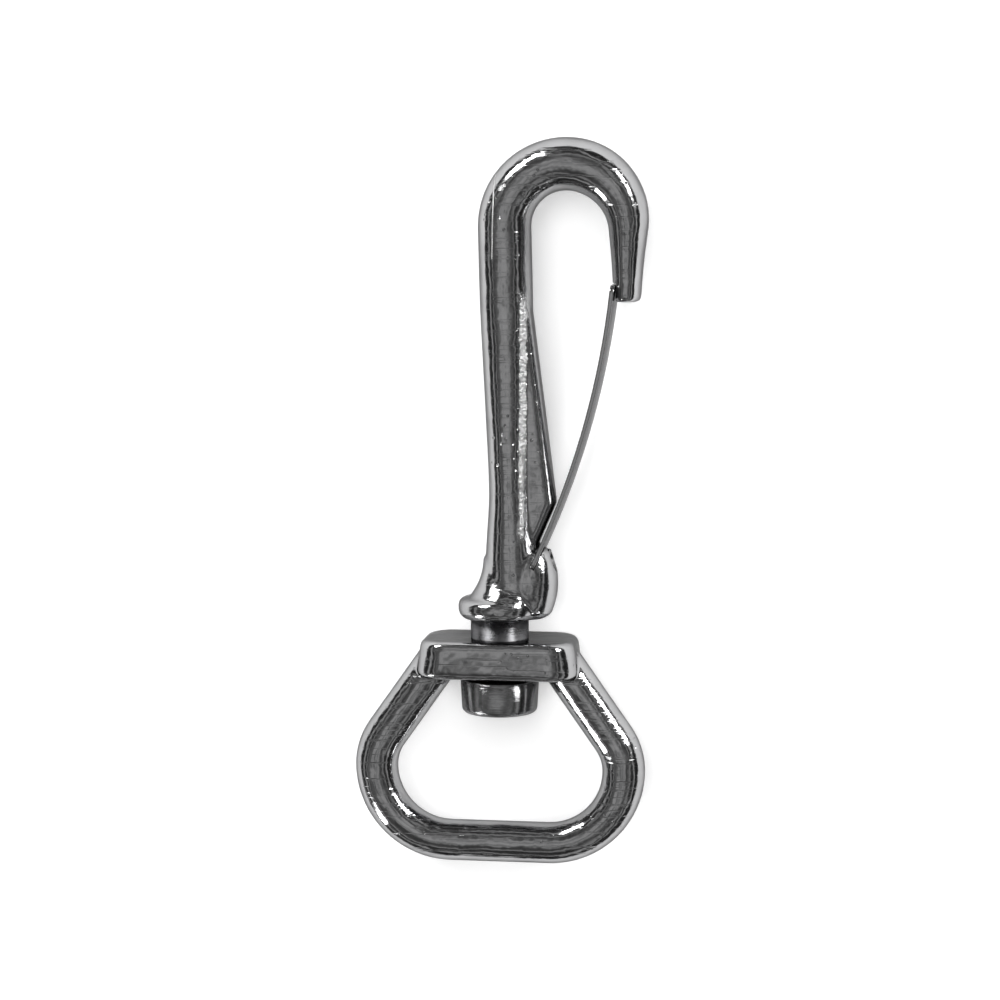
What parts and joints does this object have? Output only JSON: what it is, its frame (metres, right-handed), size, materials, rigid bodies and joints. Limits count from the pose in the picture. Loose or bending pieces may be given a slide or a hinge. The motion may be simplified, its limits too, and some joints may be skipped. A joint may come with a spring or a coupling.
{
  "type": "swivel snap hook",
  "caption": "Swivel snap hook: cast J-shaped hook closed by a leaf spring gate, turning freely on a rounded strap eye with an oval boss.",
  "frame": {"origin": "centre of the whole snap's box: on the swivel axis, halfway along the snap, in the plane of the hook", "axes": "+Y along the swivel axis, from the strap eye to the hook's bow; +X to the side where the hook opens; +Z square to the flat of the snap, up as it lies"},
  "size_m": [0.041, 0.1016, 0.0124],
  "materials": {
    "casting": "polished plating over a casting, with fine pits and scratches",
    "spring": "bright spring strip",
    "turned": "turned and plated"
  },
  "bodies": {
    "hook": {"hook_body": "casting", "retaining_collar": "turned", "spring_rivet": "turned"},
    "eye": {"swivel_eye": "casting"},
    "gate": {"gate_spring": "spring"}
  },
  "joints": [
    {"name": "swivel", "type": "hinge", "parent": "hook", "child": "eye", "pos_m": [0, -0.02128, 0], "axis": [0, 1, 0], "continuous": true},
    {"name": "gate_bend", "type": "hinge", "parent": "hook", "child": "gate", "pos_m": [0.00665, -0.00443, 0], "axis": [0, 0, 1], "range_deg": [0, 13], "stiffness_Nm_per_rad": 1.2, "springref_deg": -4.58, "deforming": ["gate_spring"]}
  ]
}
